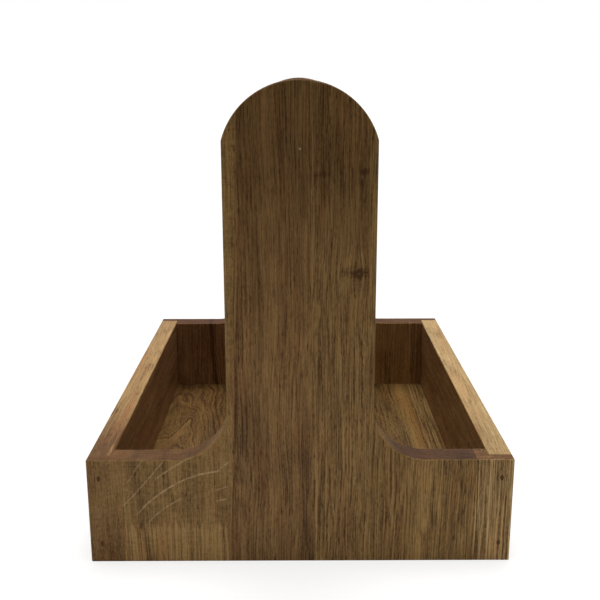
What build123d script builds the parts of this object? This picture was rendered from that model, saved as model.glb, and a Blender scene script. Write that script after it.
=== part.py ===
from build123d import *

import os

# An open oak tray that is carried by a round handle. Two tall end panels stand at the front and the back,
# two low side rails run between them, a thin board is the floor, and a dowel joins the panels' round heads.
# X is the tray's width, Y its depth and +Z is up. The origin is the middle of the footprint, on the table,
# and the front panel is at -Y. All sizes are in millimetres.

# Overall size
WIDTH = 320.0
DEPTH = 350.0
HEIGHT = 361.0
WALL_HEIGHT = 84.0

# Boards
BOARD = 18.0  # thickness of the panels and the rails
FLOOR_BOARD = 9.0  # thickness of the floor, whose underside is flush with the walls'
REBATE = 10.0  # depth of every step that a rail or the floor sits in
ARRIS = 1.2  # radius that the sharp edges are eased to

# The outline of an end panel
UPRIGHT_WIDTH = 108.0
HEAD_RISE = 41.0  # from the top of the upright's straight sides to the crown of its head
COVE_RADIUS = 40.0  # where the upright's sides curve out into the wall's top edge

# Handle
HANDLE_DIAMETER = 28.0
HANDLE_HEIGHT = 314.5  # of its axis above the table

# Fasteners
SHANK_DIAMETER = 1.4
BRAD_HEAD_DIAMETER = 2.4
BRAD_HEAD_THICKNESS = 0.8
BRAD_LENGTH = 28.0
BRAD_POINT = 2.5  # length of its tapered point
BRAD_HEIGHTS = (15.0, 69.0)  # of the two brads at each corner
FILLER_WIDTH = 2.8
FILLER_TALL = 4.5
FILLER_DEPTH = 2.0
PIN_DIAMETER = 1.8
PIN_LENGTH = 32.0

# Glue lines. A panel's lines lean a little: each is (x at the foot, x at the height of the crown).
FRONT_GLUE_LINES = ((-134.0, -134.0), (-54.0, -42.5), (10.8, 5.6), (51.8, 47.2), (132.0, 132.0))
BACK_GLUE_LINES = ((-94.0, -120.0), (-36.0, -34.0), (24.0, 22.0), (74.0, 72.0), (128.5, 119.0))
FLOOR_GLUE_LINES = (-60.0, 32.0, 126.0)

HALF_WIDTH = WIDTH / 2
HALF_DEPTH = DEPTH / 2
HALF_UPRIGHT = UPRIGHT_WIDTH / 2
INSIDE_X = HALF_WIDTH - BOARD
INSIDE_Y = HALF_DEPTH - BOARD
STEP_X = INSIDE_X + REBATE
STEP_Y = INSIDE_Y + REBATE
SHOULDER = HEIGHT - HEAD_RISE
RAIL_MIDDLE = HALF_WIDTH - BOARD / 2

FLOOR_BRAD_X = INSIDE_X + REBATE / 2
FLOOR_BRAD_Y = INSIDE_Y + REBATE / 2
SIDE_BRAD_SPACING = 74.0
SIDE_BRAD_COUNT = 4
END_BRAD_SPACING = 88.0
END_BRAD_COUNT = 3

os.makedirs("parts", exist_ok=True)


def save(builder, name):
    """Labels a finished piece and writes it as its own STEP file."""
    builder.part.label = name
    export_step(builder.part, f"parts/{name}.step")


# ---- Fasteners. They come first, because the boards are bored to fit them.

with BuildPart() as brad:
    with BuildSketch(Plane.XZ):
        with BuildLine():
            Polyline(
                (0, 0),
                (BRAD_HEAD_DIAMETER / 2, 0),
                (BRAD_HEAD_DIAMETER / 2, BRAD_HEAD_THICKNESS),
                (SHANK_DIAMETER / 2, BRAD_HEAD_THICKNESS),
                (SHANK_DIAMETER / 2, BRAD_LENGTH - BRAD_POINT),
                (0, BRAD_LENGTH),
                close=True,
            )
        make_face()
    revolve(axis=Axis.Z)

# The outer face of each end panel, as a plane whose normal points into the tray. Its x is the row's X or -X.
FRONT_FACE = Plane(origin=(0, -HALF_DEPTH, 0), x_dir=(-1, 0, 0), z_dir=(0, 1, 0))
BACK_FACE = Plane(origin=(0, HALF_DEPTH, 0), x_dir=(1, 0, 0), z_dir=(0, -1, 0))
CORNERS = [(x, z) for x in (-RAIL_MIDDLE, RAIL_MIDDLE) for z in BRAD_HEIGHTS]

with BuildPart() as corner_brads:
    for face in (FRONT_FACE, BACK_FACE):
        with Locations(face.offset(FILLER_DEPTH)):
            with Locations(*CORNERS):
                add(brad.part)
save(corner_brads, "corner_brads")

with BuildPart() as brad_filler:
    for face in (FRONT_FACE, BACK_FACE):
        with BuildSketch(face):
            with Locations(*CORNERS):
                Ellipse(FILLER_WIDTH / 2, FILLER_TALL / 2)
        extrude(amount=FILLER_DEPTH)
save(brad_filler, "brad_filler")

# The floor's brads are driven up from the underside, and their heads are flush with it.
with BuildPart() as floor_brads:
    with GridLocations(2 * FLOOR_BRAD_X, SIDE_BRAD_SPACING, 2, SIDE_BRAD_COUNT):
        add(brad.part)
    with GridLocations(END_BRAD_SPACING, 2 * FLOOR_BRAD_Y, END_BRAD_COUNT, 2):
        add(brad.part)
save(floor_brads, "floor_brads")

with BuildPart() as handle_pins:
    for face in (FRONT_FACE, BACK_FACE):
        with BuildSketch(face):
            with Locations((0, HANDLE_HEIGHT)):
                Circle(PIN_DIAMETER / 2)
        extrude(amount=PIN_LENGTH)
save(handle_pins, "handle_pins")

# ---- Handle: a plain dowel, let into a blind socket in each panel.

with BuildPart() as handle:
    with BuildSketch(Plane.XZ.offset(-STEP_Y)):
        with Locations((0, HANDLE_HEIGHT)):
            Circle(HANDLE_DIAMETER / 2)
    extrude(amount=2 * STEP_Y)
    add(handle_pins.part, mode=Mode.SUBTRACT)
save(handle, "handle")

# ---- End panels. The whole glued-up panel is shaped first, then it is divided at its glue lines.

with BuildPart() as panel:
    with BuildSketch(Plane.XZ.offset(INSIDE_Y)):
        with BuildLine():
            Polyline(
                (0, 0),
                (HALF_WIDTH, 0),
                (HALF_WIDTH, WALL_HEIGHT),
                (HALF_UPRIGHT + COVE_RADIUS, WALL_HEIGHT),
            )
            CenterArc((HALF_UPRIGHT + COVE_RADIUS, WALL_HEIGHT + COVE_RADIUS), COVE_RADIUS, 180, 90)
            Line((HALF_UPRIGHT, WALL_HEIGHT + COVE_RADIUS), (HALF_UPRIGHT, SHOULDER))
            mirror(about=Plane.YZ)
            ThreePointArc((HALF_UPRIGHT, SHOULDER), (0, HEIGHT), (-HALF_UPRIGHT, SHOULDER))
        make_face()
    extrude(amount=BOARD)
    # Steps in the inner face: one at each side for a rail's end, one along the foot for the floor.
    with BuildSketch(Plane.XZ.offset(INSIDE_Y)):
        with GridLocations(WIDTH - BOARD, 0, 2, 1):
            Rectangle(BOARD, WALL_HEIGHT, align=(Align.CENTER, Align.MIN))
        Rectangle(WIDTH, FLOOR_BOARD, align=(Align.CENTER, Align.MIN))
    extrude(amount=REBATE, mode=Mode.SUBTRACT)
    # The arrises of the outer face, and those of the inner face that no rail covers.
    outer_arrises = panel.edges().group_by(Axis.Y)[0].filter_by(lambda e: e.center().Z > 0)
    inner_arrises = panel.edges().group_by(Axis.Y)[-1].filter_by(
        lambda e: e.center().Z > WALL_HEIGHT - ARRIS and abs(e.center().X) < INSIDE_X
    )
    end_arrises = panel.edges().filter_by(Axis.Y).filter_by(
        lambda e: abs(e.center().X) > INSIDE_X + ARRIS and e.center().Z > WALL_HEIGHT - ARRIS
    )
    fillet(outer_arrises + inner_arrises + end_arrises, radius=ARRIS)
    with BuildSketch(Plane.XZ.offset(INSIDE_Y)):
        with Locations((0, HANDLE_HEIGHT)):
            Circle(HANDLE_DIAMETER / 2)
    extrude(amount=REBATE, mode=Mode.SUBTRACT)

with BuildPart() as back_panel:
    add(panel.part)
    mirror(about=Plane.XZ, mode=Mode.REPLACE)


def save_staves(whole, glue_lines, name):
    """Divides a panel at its glue lines and writes its staves, numbered from -X to +X."""
    sides = ((-HALF_WIDTH, -HALF_WIDTH), *glue_lines, (HALF_WIDTH, HALF_WIDTH))
    for number, (left, right) in enumerate(zip(sides, sides[1:]), 1):
        with BuildPart() as stave:
            add(whole.part)
            with BuildSketch(Plane.XZ):
                with BuildLine():
                    Polyline((left[0], 0), (right[0], 0), (right[1], HEIGHT), (left[1], HEIGHT), close=True)
                make_face()
            extrude(amount=HALF_DEPTH, both=True, mode=Mode.INTERSECT)
            for fasteners in (corner_brads, brad_filler, floor_brads, handle_pins):
                add(fasteners.part, mode=Mode.SUBTRACT)
        save(stave, f"{name}_stave_{number}")


save_staves(panel, FRONT_GLUE_LINES, "front_panel")
save_staves(back_panel, BACK_GLUE_LINES, "back_panel")

# ---- Side rails, stepped along the foot for the floor.

with BuildPart() as right_rail:
    with BuildSketch(Plane.XZ.offset(-STEP_Y)):
        with BuildLine():
            Polyline(
                (STEP_X, 0),
                (HALF_WIDTH, 0),
                (HALF_WIDTH, WALL_HEIGHT),
                (INSIDE_X, WALL_HEIGHT),
                (INSIDE_X, FLOOR_BOARD),
                (STEP_X, FLOOR_BOARD),
                close=True,
            )
        make_face()
    extrude(amount=2 * STEP_Y)
    fillet(right_rail.edges().filter_by(Axis.Y).group_by(Axis.Z)[-1], radius=ARRIS)
    for fasteners in (corner_brads, floor_brads):
        add(fasteners.part, mode=Mode.SUBTRACT)
save(right_rail, "right_rail")

with BuildPart() as left_rail:
    add(right_rail.part)
    mirror(about=Plane.YZ, mode=Mode.REPLACE)
save(left_rail, "left_rail")

# ---- Floor: staves edge to edge, let into the steps on all four sides.

floor_sides = (-STEP_X, *FLOOR_GLUE_LINES, STEP_X)
for number, (left, right) in enumerate(zip(floor_sides, floor_sides[1:]), 1):
    with BuildPart() as floor_stave:
        with BuildSketch(Plane.XY):
            with Locations(((left + right) / 2, 0)):
                Rectangle(right - left, 2 * STEP_Y)
        extrude(amount=FLOOR_BOARD)
        add(floor_brads.part, mode=Mode.SUBTRACT)
    save(floor_stave, f"floor_stave_{number}")
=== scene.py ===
import math

import bmesh
import bpy
from mathutils import Euler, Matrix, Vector


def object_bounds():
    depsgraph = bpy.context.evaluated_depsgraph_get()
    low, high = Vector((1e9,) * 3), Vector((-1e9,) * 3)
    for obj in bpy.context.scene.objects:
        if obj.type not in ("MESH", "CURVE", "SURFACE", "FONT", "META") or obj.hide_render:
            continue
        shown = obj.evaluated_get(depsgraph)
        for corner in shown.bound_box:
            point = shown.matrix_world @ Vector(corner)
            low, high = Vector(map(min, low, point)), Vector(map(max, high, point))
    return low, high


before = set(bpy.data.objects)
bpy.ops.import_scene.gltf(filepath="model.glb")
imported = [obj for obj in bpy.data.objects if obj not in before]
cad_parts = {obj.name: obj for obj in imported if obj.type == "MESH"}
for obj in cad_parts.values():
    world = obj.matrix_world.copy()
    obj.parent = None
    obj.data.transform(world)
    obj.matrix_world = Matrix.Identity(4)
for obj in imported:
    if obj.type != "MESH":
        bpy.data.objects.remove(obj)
cad_low, cad_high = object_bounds()

# An open oak tray with a dowel handle. +Z is up, the front end panel faces -Y, and everything is in metres.
# Inside the oak material lengths are millimetres, because timber is thought of that way.

MM = 0.001
PER_METRE = 1000.0


def linear(hex_code):
    """A colour written as sRGB hex, as the linear RGBA that a shader socket takes."""
    channels = [int(hex_code[i : i + 2], 16) / 255 for i in (1, 3, 5)]
    return [c / 12.92 if c <= 0.04045 else ((c + 0.055) / 1.055) ** 2.4 for c in channels] + [1.0]


def add(tree, kind, inputs=None, out=0, **settings):
    """Adds a shader node, and returns one of its outputs or, with no out, the node itself.

    Each input is given a value, or the output that feeds it.
    """
    made = tree.nodes.new("ShaderNode" + kind)
    for name, value in settings.items():
        setattr(made, name, value)
    for key, value in (inputs or {}).items():
        if isinstance(value, bpy.types.NodeSocket):
            tree.links.new(value, made.inputs[key])
        else:
            made.inputs[key].default_value = value
    return made if out is None else made.outputs[out]


# ---- Camera

CAMERA_BEFORE_FRONT = 0.539
CAMERA_HEIGHT = 0.3632
CAMERA_X = -0.0017
CAMERA_PITCH = math.radians(12.48)
CAMERA_YAW = math.radians(0.2)
CAMERA_ROLL = math.radians(0.09)
CAMERA_SHIFT = -1 / 12  # of the picture against the camera's axis, as a share of its width
SENSOR = 36.0
LENS = 47.31

camera = bpy.data.objects.new("camera", bpy.data.cameras.new("camera"))
bpy.context.scene.collection.objects.link(camera)
bpy.context.scene.camera = camera
camera.location = (CAMERA_X, cad_low.y - CAMERA_BEFORE_FRONT, CAMERA_HEIGHT)
camera.rotation_euler = Euler((math.pi / 2 - CAMERA_PITCH, CAMERA_ROLL, -CAMERA_YAW), "XYZ")
camera.data.sensor_width = SENSOR
camera.data.lens = LENS
camera.data.shift_y = CAMERA_SHIFT


# ---- Studio: a soft lamp almost overhead, a pale sheet under the tray, and a plain white surround


def place_light(name, kind, place, aim, power, colour):
    """A lamp at place, turned to face aim."""
    lamp = bpy.data.lights.new(name, kind)
    lamp.energy = power
    lamp.color = linear(colour)[:3]
    holder = bpy.data.objects.new(name, lamp)
    bpy.context.scene.collection.objects.link(holder)
    holder.location = place
    holder.rotation_euler = (Vector(aim) - Vector(place)).to_track_quat("-Z", "Y").to_euler()
    return holder


WHITE = "#ffffff"

# The lamp shines like the sun, so only its direction and its softness count, and not how far away it is.
LAMP_PLACE = (0.05, 0.1, 2.0)
LAMP_POWER = 3.3
LAMP_SOFTNESS = math.radians(44)

overhead = place_light("overhead_lamp", "SUN", LAMP_PLACE, (0, 0, 0), LAMP_POWER, WHITE)
overhead.data.angle = LAMP_SOFTNESS

SURROUND = 1.0  # brightness of the white surround, as the eye sees it
AMBIENT = 0.10  # light that the surround gives to the tray
BACKDROP_GLOSS = 0.9  # brightness of the backdrop behind the tray, in its sheen

# The backdrop starts and is full at these cosines of the angle from +Y.
BACKDROP = {"From Min": 0.2, "From Max": 0.9, "To Min": AMBIENT, "To Max": BACKDROP_GLOSS}

PAPER_ROUGHNESS = 0.9
PAPER_SHEEN = 0.1
FLOOR_SIDE = 60.0
FLOOR_GLOW = 0.66
BOUNCE_SIDE = 1.6

sky = bpy.data.worlds.new("studio_sky")
bpy.context.scene.world = sky
sky.use_nodes = True
sky.node_tree.nodes.clear()
ray = add(sky.node_tree, "LightPath", out=None)
heading = add(sky.node_tree, "TexCoord", out="Generated")
behind = add(sky.node_tree, "VectorMath", {0: heading, 1: (0, 1, 0)}, out="Value", operation="DOT_PRODUCT")
behind = add(sky.node_tree, "MapRange", {"Value": behind, **BACKDROP})
bright = add(sky.node_tree, "Background", {"Color": linear(WHITE), "Strength": SURROUND})
sheen = add(sky.node_tree, "Background", {"Color": linear(WHITE), "Strength": behind})
dim = add(sky.node_tree, "Background", {"Color": linear(WHITE), "Strength": AMBIENT})
lit = add(sky.node_tree, "MixShader", {0: ray.outputs["Is Glossy Ray"], 1: dim, 2: sheen})
both = add(sky.node_tree, "MixShader", {0: ray.outputs["Is Camera Ray"], 1: lit, 2: bright})
add(sky.node_tree, "OutputWorld", {"Surface": both}, out=None)


def pale_sheet(name, side, height, colour):
    """A level square of matt paper, which is part of the studio, and its shader."""
    shape = bmesh.new()
    bmesh.ops.create_grid(shape, x_segments=1, y_segments=1, size=0.5)
    bmesh.ops.scale(shape, vec=(side, side, 1), verts=shape.verts)
    bmesh.ops.translate(shape, vec=(0, 0, height), verts=shape.verts)
    mesh = bpy.data.meshes.new(name)
    shape.to_mesh(mesh)
    shape.free()
    sheet = bpy.data.objects.new(name, mesh)
    bpy.context.scene.collection.objects.link(sheet)
    paper = bpy.data.materials.new(name + "_paper")
    paper.use_nodes = True
    shader = paper.node_tree.nodes["Principled BSDF"]
    shader.inputs["Base Color"].default_value = linear(colour)
    shader.inputs["Roughness"].default_value = PAPER_ROUGHNESS
    shader.inputs["Specular IOR Level"].default_value = PAPER_SHEEN
    mesh.materials.append(paper)
    return sheet, shader


# Both are matt paper, which scatters light evenly. The floor is seen, and glows a little, which keeps the
# tray's shadow faint. Only the sheet under it throws light back at the tray, as on a lit table in a dim room.
studio_floor, floor_paper = pale_sheet("studio_floor", FLOOR_SIDE, -0.2 * MM, "#a3a3a1")
floor_paper.inputs["Emission Color"].default_value = linear(WHITE)
floor_paper.inputs["Emission Strength"].default_value = FLOOR_GLOW
studio_floor.visible_diffuse = False
studio_floor.visible_glossy = False
studio_floor.visible_shadow = False
bounce_sheet, _ = pale_sheet("bounce_sheet", BOUNCE_SIDE, -0.4 * MM, "#ece9e4")
bounce_sheet.visible_camera = False

bpy.context.scene.view_settings.view_transform = "Standard"


# ---- Oak. Every board is cut out of a solid pattern, so its faces, edges and end grain belong together.

# Inputs and output of a Mix node that mixes colours.
FACTOR, FIRST_COLOUR, SECOND_COLOUR, MIXED_COLOUR = 0, 6, 7, 2

# Settings of a Map Range node that eases from 0 to 1.
EASED = {"interpolation_type": "SMOOTHSTEP"}

# How far apart the patterns of two boards are taken, in mm, so that no two boards look alike.
BOARD_SHIFT = (173.0, 59.0, 431.0)

# Turns that bring a board's grain onto the pattern's z.
GRAIN_UP = (0, 0, 0)
GRAIN_ALONG_Y = (math.pi / 2, 0, 0)

# A board's darkest and lightest wood, as shares of its middle colour: oil turns the dark wood browner.
DARK_SHARE = (0.32, 0.26, 0.18)
LIGHT_SHARE = (1.66, 1.74, 1.95)

RED_TINT = "#f0c8b0"  # of the reddish patches in the heartwood
END_TINT = "#bdaba8"  # of end grain
DARK_END_TINT = "#988690"  # of end grain that drank more oil
WARM_END_TINT = "#9c8a7e"  # of the back panel's end grain
SILVER_RAY = "#c9ac7e"

# Parts of the figure, each as its (width across the grain, length along it) in mm. Real pores are about
# 0.3 mm wide, and lines and fibres are finer still. All of them are drawn this coarse so that they show.
LINE = (0.8, 60.0)
FIBRE = (2.0, 120.0)
SPECKLE = (0.7, 3.0)
BAND = (18.0, 420.0)
MOTTLE = (14.0, 45.0)
FLECK = (6.0, 1.2)
RED_PATCH = (9.0, 80.0)
WISP = (3.5, 1.0)
COMB_LINE = (1.3, 160.0)
RAGGED = (3.0, 400.0)
RAY_BREAK = (4.0, 4.0)
UNEVEN_RING = (30.0, 200.0)
WANDER = (45.0, 130.0)
RIPPLE = (11.0, 32.0)

# More lengths, in mm.
PORE_WIDTH = 0.9
LAYER = 1.3  # spacing of the fine layers between growth rings
RING_UNEVENNESS = 6.0  # how far a growth ring strays from round
RAGGEDNESS = 28.0  # how far the upper edge of the combed lines strays
RAGGED_FADE = (3.0, -2.0)  # where the combed lines are gone, and where they are still full, above that edge
RAY_WIDTHS = (1.2, 0.2)  # half a silver ray's width, and half the width of its palest part
END_RAY = (22.0, 0.9, 22.0)  # length, width and depth of the rays that cross end grain

EVEN = 0.5  # average of a noise, and the light of a board's middle colour

# How a noise of about 0.3 to 0.7 is cut into marks, from no mark to a full one.
PORE_CUT = {"From Min": 0.55, "From Max": 0.72}
RED_CUT = {"From Min": 0.45, "From Max": 0.7}
COMB_CUT = {"From Min": 0.42, "From Max": 0.58}
END_RAY_CUT = {"From Min": 0.4, "From Max": 0.62}
RAY_BREAK_CUT = {"From Min": 0.35, "From Max": 0.6, "To Min": 0.4}
WISP_CUT = {"From Min": 0.35, "From Max": 0.6, "To Min": 0.35, "To Max": 1.15}

# How squarely a face has to look along the grain to be end grain, and upward to be a top edge, as cosines.
END_FACE = {"From Min": 0.45, "From Max": 0.95}
TOP_FACE = {"From Min": 0.3, "From Max": 0.8}

# Shares of a growth ring: early wood is fullest at the first, and ends at the second.
EARLY_WOOD = (0.1, 0.4)
LATE_PORES = 0.5  # strength of the pores outside the early wood

# Shapes of knots, streaks and silver rays, as shares of their own size.
KNOT_FADE = {"From Min": 1.5, "From Max": 0.3}
BEND_TALLNESS = 2.4  # of the grain that bends round a knot, against its width
BEND_SQUEEZE = 0.7  # how far that grain is pushed aside
STREAK_CORE = 0.2  # of a streak's width that has its full strength
RAY_CORE = 0.7  # of a silver ray's length that has its full strength

# Strengths that all boards share.
SPECKLED = 0.7
MOTTLED = 0.5
COMBED = 0.42
END_RAYED = 0.5
END_DARKENED = 0.25
ARRIS_PALENESS = 0.4  # of the paler wood on eased arrises

# How much plainer the figure is on end grain, on a top edge with painted light, and where a board calms down.
END_PLAINER = 0.4
TOP_PLAINER = 0.5
QUIET_PLAINER = 0.35

# Oil that was wiped off leaves closed wood with a soft sheen, and pores and end grain duller.
WOOD_ROUGHNESS = 0.52
PORE_DULLER = 0.2
END_DULLER = 0.12
OIL_SHEEN = 0.2
GRAIN_RELIEF = 0.5
GRAIN_DEPTH = 0.1 * MM
FIBRE_RIDGE = 0.5  # height of a fibre, where a pore's depth is 1


def share_of(hex_code, shares):
    """A colour's channels, each times its share."""
    return [channel * share for channel, share in zip(linear(hex_code), shares)] + [1.0]


def lumps(tree, wood, width, length, detail=2.0):
    """Noise whose lumps are about width mm across the grain and length mm along it."""
    drawn = add(tree, "Mapping", {"Vector": wood, "Scale": (1 / width, 1 / width, 1 / length)})
    return add(tree, "TexNoise", {"Vector": drawn, "Scale": 1.0, "Detail": detail})


def summed(tree, start, patterns):
    """start plus each pattern times its strength."""
    total = start
    for pattern, strength in patterns:
        total = add(tree, "Math", {0: pattern, 1: strength, 2: total}, operation="MULTIPLY_ADD")
    return total


def stripe(tree, away, half_width, core):
    """1 where away is within core of 0, eased down to 0 at half_width on either side."""
    away = add(tree, "Math", {0: away}, operation="ABSOLUTE")
    return add(tree, "MapRange", {"Value": away, "From Min": half_width, "From Max": core}, **EASED)


def wandered(tree, place, noise_place, across, along, reach):
    """The place shifted across the grain by up to a quarter of reach, in lumps of across by along mm."""
    slow = {"Vector": noise_place, "Scale": (1 / across, 1 / across, 1 / along)}
    slow = {"Vector": add(tree, "Mapping", slow), "Scale": 1.0, "Detail": 1.0}
    shift = add(tree, "TexNoise", slow, out="Color")
    shift = add(tree, "VectorMath", {0: shift, 1: (EVEN,) * 3}, operation="SUBTRACT")
    shift = add(tree, "VectorMath", {0: shift, 1: (reach, reach, 0)}, operation="MULTIPLY")
    return add(tree, "VectorMath", {0: place, 1: shift}, operation="ADD")


def knot_mark(tree, place, noise_place, x, z, half_width, half_height, bend):
    """The dark wood of a knot's eye, or with no bend the wisps beside it."""
    middle = {"Vector": place, "Location": (-x / half_width, 0, -z / half_height)}
    middle = add(tree, "Mapping", {**middle, "Scale": (1 / half_width, 0, 1 / half_height)})
    reach = add(tree, "VectorMath", {0: middle}, out="Value", operation="LENGTH")
    mark = add(tree, "MapRange", {"Value": reach, **KNOT_FADE}, **EASED)
    if bend:
        return mark
    wisps = add(tree, "MapRange", {"Value": lumps(tree, noise_place, *WISP, 1.0), **WISP_CUT}, **EASED)
    return add(tree, "Math", {0: mark, 1: wisps}, operation="MULTIPLY")


def bent_round_knot(tree, place, x, z, bend):
    """The place with the grain bent round a knot, as far as bend mm to each side of it."""
    tall = BEND_TALLNESS * bend
    near = {"Vector": place, "Location": (-x / bend, 0, -z / tall), "Scale": (1 / bend, 0, 1 / tall)}
    near = add(tree, "VectorMath", {0: add(tree, "Mapping", near)}, out="Value", operation="LENGTH")
    squeeze = {"Value": near, "From Min": 1.0, "From Max": 0.0, "To Max": BEND_SQUEEZE}
    squeeze = add(tree, "MapRange", squeeze, **EASED)
    across = add(tree, "Mapping", {"Vector": place, "Location": (-x, 0, 0), "Scale": (1, 0, 0)})
    pushed = add(tree, "VectorMath", {0: across, "Scale": squeeze}, operation="SCALE")
    return add(tree, "VectorMath", {0: place, 1: pushed}, operation="SUBTRACT")


def streak(tree, spot, at_foot, lean, half_width, low, high, fade):
    """A line up a board: 1 on its middle, 0 beyond half_width, and faded out below low and above high."""
    away = add(tree, "Math", {0: spot["z"], 1: -lean, 2: spot["x"]}, operation="MULTIPLY_ADD")
    away = add(tree, "Math", {0: away, 1: at_foot}, operation="SUBTRACT")
    line = stripe(tree, away, half_width, half_width * STREAK_CORE)
    for start, end in ((low - fade, low), (high + fade, high)):
        shown = add(tree, "MapRange", {"Value": spot["z"], "From Min": start, "From Max": end}, **EASED)
        line = add(tree, "Math", {0: line, 1: shown}, operation="MULTIPLY")
    return line


def silver_ray(tree, spot, x, z, slope, bend, reach):
    """A thin pale ray of quarter-sawn oak. It climbs through (x, z), with a slope that bend makes gentler."""
    along = add(tree, "Math", {0: spot["x"], 1: x}, operation="SUBTRACT")
    climb = add(tree, "Math", {0: along, 1: -bend, 2: slope}, operation="MULTIPLY_ADD")
    climb = add(tree, "Math", {0: along, 1: climb, 2: z}, operation="MULTIPLY_ADD")
    over = add(tree, "Math", {0: spot["z"], 1: climb}, operation="SUBTRACT")
    line = stripe(tree, over, *RAY_WIDTHS)
    ends = stripe(tree, along, reach, reach * RAY_CORE)
    return add(tree, "Math", {0: line, 1: ends}, operation="MULTIPLY")


def comb_lines(tree, wood, spot, top):
    """A stretch of fine straight pale lines from the foot of a board up to a ragged edge near top."""
    fine = add(tree, "MapRange", {"Value": lumps(tree, wood, *COMB_LINE, 0.0), **COMB_CUT}, **EASED)
    ragged = summed(tree, spot["z"], [(lumps(tree, wood, *RAGGED, 1.0), RAGGEDNESS)])
    gone, full = (top + RAGGEDNESS * EVEN + above for above in RAGGED_FADE)
    ragged = add(tree, "MapRange", {"Value": ragged, "From Min": gone, "From Max": full}, **EASED)
    return add(tree, "Math", {0: fine, 1: ragged}, operation="MULTIPLY")


def toned(tree, light, tone):
    """The wood that is this light, from the darkest wood of a tone at 0 to the lightest at 1."""
    ends = {FIRST_COLOUR: share_of(tone, DARK_SHARE), SECOND_COLOUR: share_of(tone, LIGHT_SHARE)}
    return add(tree, "Mix", {FACTOR: light, **ends}, out=MIXED_COLOUR, data_type="RGBA")


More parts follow.
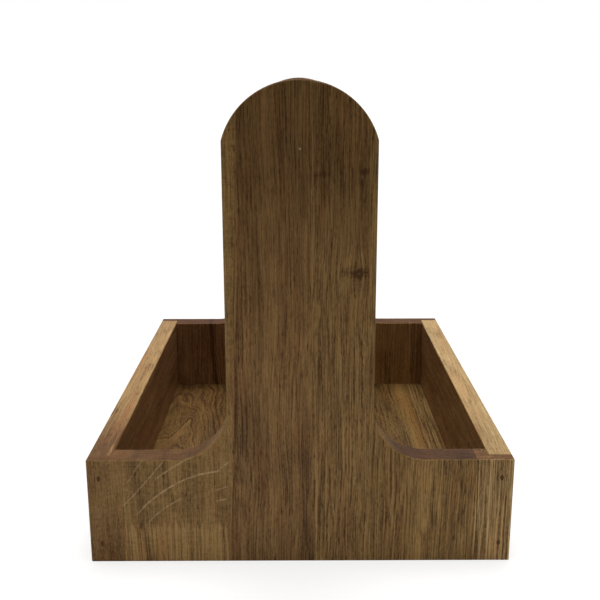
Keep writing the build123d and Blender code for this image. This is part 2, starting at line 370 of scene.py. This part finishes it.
def oak(
    name,
    number,
    tone,
    grain=GRAIN_UP,
    pith=(60.0, 90.0),
    ring=3.2,
    rings=0.2,
    taper=0.0,
    wave=7.0,
    ripple=1.2,
    pores=0.45,
    pore_length=7.0,
    lines=1.4,
    fibres=0.4,
    bands=0.7,
    layers=0.0,
    flecks=0.0,
    red=0.3,
    quiet=(500.0, 600.0),
    knots=(),
    streaks=(),
    rays=(),
    comb=None,
    shade=(),
    painted_top_light_tone=None,
    end_tint=END_TINT,
):
    """Oak, planed, sanded and wiped with oil: open pores stay dark, and the sheen is soft and broken.

    tone is the board's middle colour. pith is the tree's middle, in mm across the board, and taper its lean.
    ring is the spacing of its growth rings. wave and ripple are how far the grain wanders and ripples. rings,
    pores, lines, fibres, bands, layers, flecks and red are how strong each part of the figure is, and quiet
    is the stretch over which it calms down.
    """
    material = bpy.data.materials.new(name)
    material.use_nodes = True
    tree = material.node_tree
    shader = tree.nodes["Principled BSDF"]
    source = add(tree, "TexCoord", out=None)

    # Where the point is in the board, in mm. The grain wanders slowly along it, and ripples a little.
    place = {"Vector": source.outputs["Object"], "Rotation": grain, "Scale": (PER_METRE,) * 3}
    place = add(tree, "Mapping", place)
    shift = tuple(number * step for step in BOARD_SHIFT)
    noise_place = add(tree, "Mapping", {"Vector": place, "Location": shift})
    place = wandered(tree, place, noise_place, *WANDER, wave)
    place = wandered(tree, place, noise_place, *RIPPLE, ripple)
    marks = []
    for x, z, half_width, half_height, bend, strength in knots:
        marks.append((knot_mark(tree, place, noise_place, x, z, half_width, half_height, bend), strength))
        if bend:
            place = bent_round_knot(tree, place, x, z, bend)
    wood = add(tree, "Mapping", {"Vector": place, "Location": shift})
    parts = add(tree, "SeparateXYZ", {0: place}, out=None)
    spot = {"x": parts.outputs["X"], "z": parts.outputs["Z"]}

    # Growth rings: each starts abruptly with a porous band, and closes up slowly.
    from_pith = {"Vector": place, "Location": (-pith[0], -pith[1], 0), "Scale": (1, 1, 0)}
    radius = add(tree, "VectorMath", {0: add(tree, "Mapping", from_pith)}, out="Value", operation="LENGTH")
    uneven = lumps(tree, wood, *UNEVEN_RING)
    radius = summed(tree, radius, [(spot["z"], taper), (uneven, RING_UNEVENNESS)])
    phase = add(tree, "Math", {0: radius, 1: 1 / ring}, operation="MULTIPLY")
    phase = add(tree, "Math", {0: phase}, operation="FRACT")
    fullest, closed = EARLY_WOOD
    opens = add(tree, "MapRange", {"Value": phase, "From Min": 0.0, "From Max": fullest}, **EASED)
    early = add(tree, "MapRange", {"Value": phase, "From Min": closed, "From Max": fullest}, **EASED)
    early = add(tree, "Math", {0: opens, 1: early}, operation="MULTIPLY")
    layer = add(tree, "TexNoise", {"W": radius, "Scale": 1 / LAYER, "Detail": 1.0}, noise_dimensions="1D")

    # Open pores are short dark dashes, and darkest in the early wood.
    pore = lumps(tree, wood, PORE_WIDTH, pore_length, 0.0)
    pore = add(tree, "MapRange", {"Value": pore, **PORE_CUT}, **EASED)
    depth = summed(tree, LATE_PORES, [(early, 1 - LATE_PORES)])
    pore = add(tree, "Math", {0: pore, 1: depth}, operation="MULTIPLY")
    fibre = lumps(tree, wood, *FIBRE, 3.0)
    figure = [
        (lumps(tree, wood, *LINE, 0.0), lines),
        (fibre, fibres),
        (lumps(tree, wood, *SPECKLE, 1.0), SPECKLED),
        (lumps(tree, wood, *BAND), bands),
        (lumps(tree, wood, *MOTTLE), MOTTLED),
        (layer, layers),
        (lumps(tree, wood, *FLECK, 1.0), flecks),
    ]
    # With this start the figure adds up to an even light on average, however strong its patterns are.
    start = EVEN - sum(strength for pattern, strength in figure) * EVEN
    facing = source.outputs["Normal"]
    upward = add(tree, "VectorMath", {0: facing, 1: (0, 0, 1)}, out="Value", operation="DOT_PRODUCT")
    upward = add(tree, "MapRange", {"Value": upward, **TOP_FACE}, **EASED)
    marks += [(pore, -pores), (early, -rings)]
    for *line, strength in streaks:
        marks.append((streak(tree, spot, *line), strength))
    for none, full, strength in shade:
        shaded = add(tree, "MapRange", {"Value": spot["z"], "From Min": none, "From Max": full}, **EASED)
        # A board with a top tone, which is painted light, has its shades on its top edge only.
        if painted_top_light_tone:
            shaded = add(tree, "Math", {0: shaded, 1: upward}, operation="MULTIPLY")
        marks.append((shaded, strength))
    if comb:
        marks.append((comb_lines(tree, wood, spot, comb), COMBED))
    light = summed(tree, start, figure + marks)

    # End grain drinks more oil: it is darker, greyer and plainer, with fine rays across it.
    grain_axis, face_axis = ((0, 0, 1), (0, 1, 0)) if grain == GRAIN_UP else ((0, 1, 0), (1, 0, 0))
    end_grain = add(tree, "VectorMath", {0: facing, 1: grain_axis}, out="Value", operation="DOT_PRODUCT")
    end_grain = add(tree, "Math", {0: end_grain}, operation="ABSOLUTE")
    end_grain = add(tree, "MapRange", {"Value": end_grain, **END_FACE}, **EASED)
    across = add(tree, "Mapping", {"Vector": wood, "Scale": tuple(1 / size for size in END_RAY)})
    across = add(tree, "TexNoise", {"Vector": across, "Scale": 1.0, "Detail": 1.0})
    across = add(tree, "MapRange", {"Value": across, **END_RAY_CUT}, **EASED)
    across = add(tree, "Math", {0: end_grain, 1: across}, operation="MULTIPLY")
    light = summed(tree, light, [(across, END_RAYED), (end_grain, -END_DARKENED)])
    calmer = add(tree, "MapRange", {"Value": spot["z"], "From Min": quiet[0], "From Max": quiet[1]}, **EASED)
    plainer = [(end_grain, -END_PLAINER), (calmer, -QUIET_PLAINER)]
    if painted_top_light_tone:
        plainer.append((upward, -TOP_PLAINER))
    contrast = summed(tree, 1.0, plainer)
    light = add(tree, "Math", {0: light, 1: EVEN}, operation="SUBTRACT")
    light = add(tree, "Math", {0: light, 1: contrast, 2: EVEN}, operation="MULTIPLY_ADD")

    colour = toned(tree, light, tone)
    if painted_top_light_tone:
        # Painted light: the top edges get a paler tone than the faces, as if more strongly lit.
        top = {FACTOR: upward, FIRST_COLOUR: colour, SECOND_COLOUR: toned(tree, light, painted_top_light_tone)}
        colour = add(tree, "Mix", top, out=MIXED_COLOUR, data_type="RGBA")
    red_patch = lumps(tree, wood, *RED_PATCH)
    red_patch = add(tree, "MapRange", {"Value": red_patch, **RED_CUT, "To Max": red}, **EASED)
    for amount, tint in ((red_patch, RED_TINT), (end_grain, end_tint)):
        tinted = {FACTOR: amount, FIRST_COLOUR: colour, SECOND_COLOUR: linear(tint)}
        colour = add(tree, "Mix", tinted, out=MIXED_COLOUR, data_type="RGBA", blend_type="MULTIPLY")

    # Rays show on the face only, and an eased arris, which faces halfway between two faces, is drawn paler.
    flat = add(tree, "VectorMath", {0: facing, 1: face_axis}, out="Value", operation="DOT_PRODUCT")
    flat = add(tree, "Math", {0: flat, 1: flat}, operation="MULTIPLY")
    if rays:
        pale = summed(tree, 0.0, [(silver_ray(tree, spot, *line), strength) for *line, strength in rays])
        broken = lumps(tree, noise_place, *RAY_BREAK)
        broken = add(tree, "MapRange", {"Value": broken, **RAY_BREAK_CUT}, **EASED)
        pale = add(tree, "Math", {0: pale, 1: broken}, operation="MULTIPLY")
        pale = add(tree, "Math", {0: pale, 1: flat}, operation="MULTIPLY")
        paled = {FACTOR: pale, FIRST_COLOUR: colour, SECOND_COLOUR: linear(SILVER_RAY)}
        colour = add(tree, "Mix", paled, out=MIXED_COLOUR, data_type="RGBA")
    arris = add(tree, "Math", {0: 1.0, 1: flat}, operation="SUBTRACT")
    arris = add(tree, "Math", {0: arris, 1: flat}, operation="MULTIPLY")
    arris = add(tree, "Math", {0: arris, 1: ARRIS_PALENESS}, operation="MULTIPLY")
    arris_paled = {FACTOR: arris, FIRST_COLOUR: colour, SECOND_COLOUR: share_of(tone, LIGHT_SHARE)}
    colour = add(tree, "Mix", arris_paled, out=MIXED_COLOUR, data_type="RGBA")
    tree.links.new(colour, shader.inputs["Base Color"])

    rough = summed(tree, WOOD_ROUGHNESS, [(pore, PORE_DULLER), (end_grain, END_DULLER)])
    tree.links.new(rough, shader.inputs["Roughness"])
    height = summed(tree, 0.0, [(pore, -1.0), (fibre, FIBRE_RIDGE)])
    bump = add(tree, "Bump", {"Height": height, "Strength": GRAIN_RELIEF, "Distance": GRAIN_DEPTH})
    tree.links.new(bump, shader.inputs["Normal"])
    shader.inputs["Specular IOR Level"].default_value = OIL_SHEEN
    return material


# How each board was sawn, and the light and shade painted on some boards. Streaks are (x at the foot, lean,
# half width, low end, high end, fade, strength), rays are (x, z, slope, bend, reach, strength), knots are
# (x, z, half width, half height, bend, strength) and shades are (where there is none, where it is full,
# strength), all in mm. A strength over 0 is paler, and under 0 darker. Shades change a board's colour along
# its length; where they are marked below, they are painted light and shade. A board with a top tone, which
# is painted light, has its shades on that top edge only. A comb is the height that the combed lines reach.
# x and z are the tray's own, but in a board whose grain runs along Y, z stands for Y.
FULL = (-400.0, 400.0, 10.0)  # low end, high end and fade of a streak that runs the whole length of a board

# The back panel's boards are calmer than the front's, and their end grain is browner.
CALM_BOARD = {"lines": 0.75, "pores": 0.2, "rings": 0.1, "fibres": 0.6, "end_tint": WARM_END_TINT}

BOARDS = {
    "front_panel_stave_1": {
        "tone": "#8d6c3d",
        "pores": 0.2,
        "rings": 0.05,
        "lines": 0.4,
        "fibres": 0.2,
        "flecks": 0.3,
        "red": 0.6,
        "shade": ((60.0, 0.0, -0.18),),
    },
    "front_panel_stave_2": {
        "tone": "#88693b",
        "pith": (-300.0, -170.0),
        "pores": 0.3,
        "rings": 0.05,
        "lines": 0.6,
        "fibres": 0.3,
        "flecks": 0.45,
        "comb": 29.0,
        "rays": (
            (-92.0, 65.3, 0.58, 0.0088, 34.0, 0.7),
            (-92.0, 80.0, 0.68, 0.004, 17.0, 0.55),
            (-117.0, 63.0, 1.15, -0.01, 20.0, 0.45),
            (-122.0, 75.0, 1.4, 0.0, 8.0, 0.35),
            (-102.0, 44.5, 0.8, 0.012, 15.0, 0.5),
            (-59.5, 78.6, 0.8, 0.0, 5.0, 0.6),
            (-60.0, 61.0, 0.35, 0.0, 5.0, 0.4),
            (-60.5, 51.2, 0.3, 0.0, 5.0, 0.4),
        ),
        "streaks": (
            (-116.0, -0.08, 4.0, -20, 95, 10, -0.25),
            (-92.0, -0.11, 3.6, 50, 95, 12, -0.25),
            (-130.5, 0.0, 4.0, *FULL, 0.16),
        ),
        # Painted light: paler from 90 mm up the upright.
        "shade": ((90.0, 150.0, 0.11),),
    },
    "front_panel_stave_3": {
        "tone": "#836237",
        "pith": (-260.0, -90.0),
        "ring": 2.6,
        "lines": 0.95,
        "pores": 0.3,
        "fibres": 0.3,
        "bands": 1.1,
        "wave": 11.0,
        "quiet": (180.0, 300.0),
        "streaks": (
            (-52.0, 0.032, 1.6, *FULL, -0.15),
            (-53.2, 0.032, 1.3, *FULL, 0.34),
            (5.5, -0.0144, 7.0, -20, 70, 40, -0.22),
        ),
        # Painted light and shade: paler from 90 mm up the upright, and darker towards the head.
        "shade": ((90.0, 150.0, 0.13), (220.0, 330.0, -0.34)),
    },
    "front_panel_stave_4": {
        "tone": "#866639",
        "pith": (150.0, -60.0),
        "ring": 3.6,
        "rings": 0.12,
        "ripple": 2.1,
        "pores": 0.38,
        "pore_length": 6.0,
        "lines": 1.35,
        "fibres": 0.2,
        "bands": 0.4,
        "quiet": (160.0, 280.0),
        # Painted light and shade: paler from 90 mm up the upright, and darker towards the head.
        "shade": ((90.0, 150.0, 0.02), (220.0, 330.0, -0.37)),
        "streaks": ((12.3, -0.0144, 1.3, *FULL, 0.3), (20.0, -0.02, 9.0, -20, 90, 40, 0.1)),
        "knots": (
            (13.5, 297.0, 6.0, 2.2, 0.0, -0.22),
            (44.2, 299.0, 3.0, 2.4, 7.0, -0.42),
            (40.5, 226.5, 4.4, 3.0, 13.0, -0.34),
            (42.0, 227.5, 13.0, 4.0, 0.0, -0.5),
            (42.0, 220.0, 8.0, 9.0, 0.0, -0.16),
        ),
    },
    "front_panel_stave_5": {
        "tone": "#866738",
        "pith": (320.0, -90.0),
        "ring": 3.0,
        "rings": 0.1,
        "pores": 0.3,
        "lines": 1.4,
        "fibres": 0.25,
        "end_tint": DARK_END_TINT,
        "wave": 10.0,
        "streaks": ((90.0, 0.06, 7.0, *FULL, 0.2),),
    },
    "front_panel_stave_6": {
        "tone": "#9c7e4e",
        "pith": (420.0, -60.0),
        "rings": 0.12,
        "pores": 0.32,
        "lines": 1.9,
        "wave": 4.0,
    },
    "back_panel_stave_1": {**CALM_BOARD, "tone": "#8c643d", "streaks": ((-96.5, -0.072, 3.4, *FULL, -0.45),)},
    "back_panel_stave_2": {**CALM_BOARD, "tone": "#90673f"},
    "back_panel_stave_3": {**CALM_BOARD, "tone": "#95703f"},
    "back_panel_stave_4": {**CALM_BOARD, "tone": "#967140"},
    "back_panel_stave_5": {**CALM_BOARD, "tone": "#967040"},
    "back_panel_stave_6": {**CALM_BOARD, "tone": "#966e42", "streaks": ((129.4, -0.026, 1.0, *FULL, 0.4),)},
    "left_rail": {
        "tone": "#916b42",
        "grain": GRAIN_ALONG_Y,
        "pith": (-150.0, -180.0),
        # Painted light: the top edge has a paler tone, as if lit from above.
        "painted_top_light_tone": "#a48150",
        "red": 0.6,
        "shade": ((-30.0, -175.0, -0.95),),
        "lines": 1.2,
        "pores": 0.4,
        "streaks": ((-144.0, 0.0, 1.4, -175, -152, 6, 0.4),),
    },
    "right_rail": {
        "tone": "#9e7749",
        "grain": GRAIN_ALONG_Y,
        "pith": (150.0, -200.0),
        # Painted light: the top edge has a paler tone, as if lit from above.
        "painted_top_light_tone": "#b59663",
        "shade": ((-30.0, -175.0, -0.35),),
        "lines": 1.2,
        "pores": 0.5,
    },
    "floor_stave_1": {
        "tone": "#694c24",
        "grain": GRAIN_ALONG_Y,
        "pith": (-128.0, 36.0),
        "ring": 4.2,
        "rings": 0.22,
        "taper": 0.1,
        "bands": 1.2,
        "layers": 0.95,
        # Painted shadow of the back panel: the floor is darker towards its back end.
        "shade": ((70.0, 170.0, -0.26),),
        "wave": 18.0,
        "ripple": 7.8,
        "pores": 0.25,
        "lines": 0.5,
    },
    "floor_stave_2": {
        "tone": "#694c24",
        "grain": GRAIN_ALONG_Y,
        "pith": (-20.0, 60.0),
        "ring": 4.4,
        "rings": 0.22,
        "taper": 0.1,
        "bands": 1.2,
        "layers": 1.0,
        "ripple": 4.8,
        "pores": 0.25,
        "lines": 0.5,
    },
    "floor_stave_3": {
        "tone": "#614821",
        "grain": GRAIN_ALONG_Y,
        "pith": (190.0, 90.0),
        "bands": 1.5,
        "lines": 1.1,
        "pores": 0.5,
        "pore_length": 5.0,
        "ripple": 3.0,
        "red": 0.5,
        "streaks": ((118.0, 0.0, 9.0, *FULL, 0.28),),
    },
    "floor_stave_4": {"tone": "#7d6035", "grain": GRAIN_ALONG_Y, "pith": (230.0, 40.0)},
    "handle": {"tone": "#8f6d3f", "grain": GRAIN_ALONG_Y, "pith": (40.0, -300.0)},
}


def finish_node(node, material):
    """Gives a node of the model its material."""
    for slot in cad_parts[node].material_slots:
        slot.material = material


for number, (board, cut) in enumerate(BOARDS.items(), 1):
    finish_node(board, oak("oiled_oak_" + board, number, **cut))


# ---- Fasteners and filler

GRIT_CUT = {"From Min": 0.35, "From Max": 0.65}
GRIT_DULLER = 0.15  # how much duller the light specks are than the dark ones
BARE_STEEL = 0.7  # share of the wire's look that comes from bare metal rather than from oil


def speckled(name, dark, light, grit, roughness):
    """A plain finish that is mottled from dark to light, in lumps of about grit mm, and its shader."""
    material = bpy.data.materials.new(name)
    material.use_nodes = True
    tree = material.node_tree
    shader = tree.nodes["Principled BSDF"]
    spot = add(tree, "TexCoord", out="Object")
    specks = add(tree, "TexNoise", {"Vector": spot, "Scale": PER_METRE / grit, "Detail": 3.0})
    specks = add(tree, "MapRange", {"Value": specks, **GRIT_CUT}, **EASED)
    ends = {FACTOR: specks, FIRST_COLOUR: linear(dark), SECOND_COLOUR: linear(light)}
    tree.links.new(add(tree, "Mix", ends, out=MIXED_COLOUR, data_type="RGBA"), shader.inputs["Base Color"])
    tree.links.new(summed(tree, roughness, [(specks, GRIT_DULLER)]), shader.inputs["Roughness"])
    return material, shader


# Drawn steel wire, dulled by the oil that was wiped over it: a soft warm grey glint.
dull_steel, wire = speckled("oil_dulled_steel", "#8a7a5c", "#c4b28c", 0.5, 0.5)
wire.inputs["Metallic"].default_value = BARE_STEEL
for fasteners in ("corner_brads", "floor_brads", "handle_pins"):
    finish_node(fasteners, dull_steel)

# Wood filler takes the oil unevenly, and dries to a matt dark brown.
filler, paste = speckled("oiled_wood_filler", "#432e17", "#624627", 0.7, 0.8)
paste.inputs["Specular IOR Level"].default_value = OIL_SHEEN
finish_node("brad_filler", filler)
